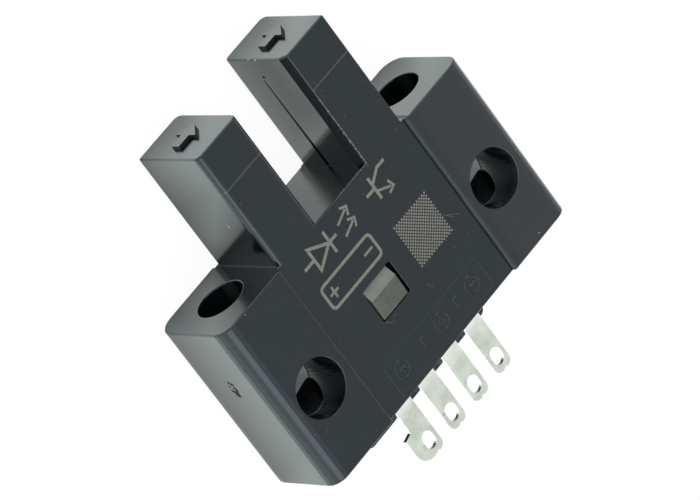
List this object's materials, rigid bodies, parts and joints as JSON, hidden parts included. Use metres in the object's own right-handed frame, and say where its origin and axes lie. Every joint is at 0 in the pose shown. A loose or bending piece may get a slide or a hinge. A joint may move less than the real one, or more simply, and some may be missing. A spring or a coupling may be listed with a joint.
{
  "type": "slotted optical switch",
  "caption": "Slotted optical switch: a forked moulded case with two posts facing each other across a sensing slot, a mounting flange on each side, an indicator window and blade terminals below.",
  "frame": {"origin": "centre of the footprint's bounding box, on the mounting plane at the back of the flanges", "axes": "+X across the slot from the left post to the right post as seen from the front, +Y from the terminals towards the post ends, +Z out of the front face; the light beam crosses the slot along X"},
  "size_m": [0.0254, 0.0284, 0.007],
  "materials": {
    "case_plastic": "smooth moulded black plastic, slightly glossy",
    "base_plastic": "smooth moulded black plastic",
    "plated_terminal": "pale tin plating, satin",
    "light_pipe_plastic": "clear to milky moulded plastic, polished",
    "lamp_body": "tinted clear resin",
    "circuit_board": "green solder mask",
    "emitter_body": "tinted clear resin",
    "receiver_body": "black infrared-passing resin",
    "lead_metal": "tinned wire",
    "chip_body": "black moulded resin",
    "capacitor_body": "fired ceramic",
    "resistor_body": "glazed ceramic"
  },
  "bodies": {
    "root": {"case": "case_plastic", "terminal_base": "base_plastic", "terminal_1": "plated_terminal", "terminal_2": "plated_terminal", "terminal_3": "plated_terminal", "terminal_4": "plated_terminal", "indicator_light_pipe": "light_pipe_plastic", "indicator_led": "lamp_body", "circuit_board": "circuit_board", "emitter": "emitter_body", "emitter_lead_1": "lead_metal", "emitter_lead_2": "lead_metal", "receiver": "receiver_body", "receiver_lead_1": "lead_metal", "receiver_lead_2": "lead_metal", "receiver_lead_3": "lead_metal", "amplifier_ic": "chip_body", "output_transistor": "chip_body", "protection_diode": "chip_body", "capacitor": "capacitor_body", "resistor_1": "resistor_body", "resistor_2": "resistor_body", "resistor_3": "resistor_body", "resistor_4": "resistor_body"}
  },
  "joints": []
}
